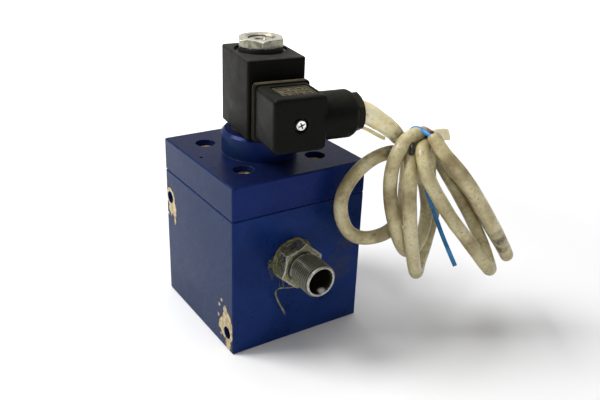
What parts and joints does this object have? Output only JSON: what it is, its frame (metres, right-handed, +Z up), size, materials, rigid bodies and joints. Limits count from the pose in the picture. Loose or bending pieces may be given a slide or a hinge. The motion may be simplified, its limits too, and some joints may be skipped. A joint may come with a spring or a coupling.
{
  "type": "solenoid directional valve",
  "caption": "Square block seat valve with a pipe coupling in front, a plug-in solenoid on its cover plate and a tied coil of connection cable, switching a fluid line",
  "frame": {"origin": "Middle of the square block's underside, the face that it stands on.", "axes": "+Z up along the solenoid's tube, -Y out of the pipe coupling's mouth, +X right with the mounting holes running along it."},
  "size_m": [0.1498, 0.1357, 0.1574],
  "materials": {
    "blue_anodised": "blue anodised, scuffed, with bare chips at the side holes",
    "zinc_steel": "zinc plated and passivated, stained",
    "screw_steel": "steel with light rust",
    "stainless": "turned stainless steel",
    "brass": "turned",
    "copper": "enamelled copper",
    "tinned": "tinned brass",
    "rubber": "nitrile rubber, dusty",
    "ptfe": "filled PTFE",
    "nylon": "glass-filled polyamide",
    "black_plastic": "black moulded plastic with dust and light scratches",
    "gland_plastic": "black polyamide with a greenish dirt film",
    "cable_jacket": "aged grey-beige PVC with dirt streaks",
    "tape": "yellowed cream tape",
    "hemp": "hemp fibre and sealing paste",
    "core_blue": "smooth PVC insulation",
    "core_black": "smooth PVC insulation",
    "core_brown": "smooth PVC insulation"
  },
  "bodies": {
    "valve": {"body_block": "blue_anodised", "cover": "blue_anodised", "cover_screws": "screw_steel", "cover_o_ring": "rubber", "passage_o_ring": "rubber", "passage_plug": "screw_steel", "inlet_fitting": "zinc_steel", "thread_sealant": "hemp", "seat_insert": "stainless", "main_spring": "stainless", "pilot_nozzle": "brass", "core_tube": "stainless", "tube_o_ring": "rubber", "fixed_core": "stainless", "shading_ring": "copper", "armature_spring": "stainless", "coil_bobbin": "nylon", "coil_winding": "copper", "coil_yoke": "zinc_steel", "coil_housing": "black_plastic", "coil_terminals": "tinned", "base_seal": "rubber", "coil_washer": "rubber", "coil_nut": "zinc_steel", "connector_gasket": "rubber", "contact_carrier": "nylon", "contact_sockets": "tinned", "connector_housing": "black_plastic", "screw_seal": "rubber", "connector_screw": "zinc_steel", "terminal_screws": "zinc_steel", "gland_grommet": "rubber", "gland_washer": "nylon", "gland_nut": "gland_plastic", "cable_lead": "cable_jacket", "cable_coil": "cable_jacket", "tape_wrap": "tape", "tape_strip": "tape", "core_blue": "core_blue", "core_black": "core_black", "core_brown": "core_brown"},
    "armature": {"armature": "stainless", "armature_seal": "rubber"},
    "piston": {"main_piston": "stainless", "piston_ring": "ptfe", "piston_seal": "rubber", "seal_washer": "stainless", "seal_screw": "screw_steel"}
  },
  "joints": [
    {"name": "armature_lift", "type": "slide", "parent": "valve", "child": "armature", "axis": [0, 0, 1], "range_m": [0, 0.0019], "stiffness_N_per_m": 400, "springref_m": -0.004, "deforming": ["armature_spring"]},
    {"name": "piston_lift", "type": "slide", "parent": "valve", "child": "piston", "axis": [0, 0, 1], "range_m": [0, 0.006], "stiffness_N_per_m": 1200, "springref_m": -0.006, "deforming": ["main_spring"]}
  ]
}
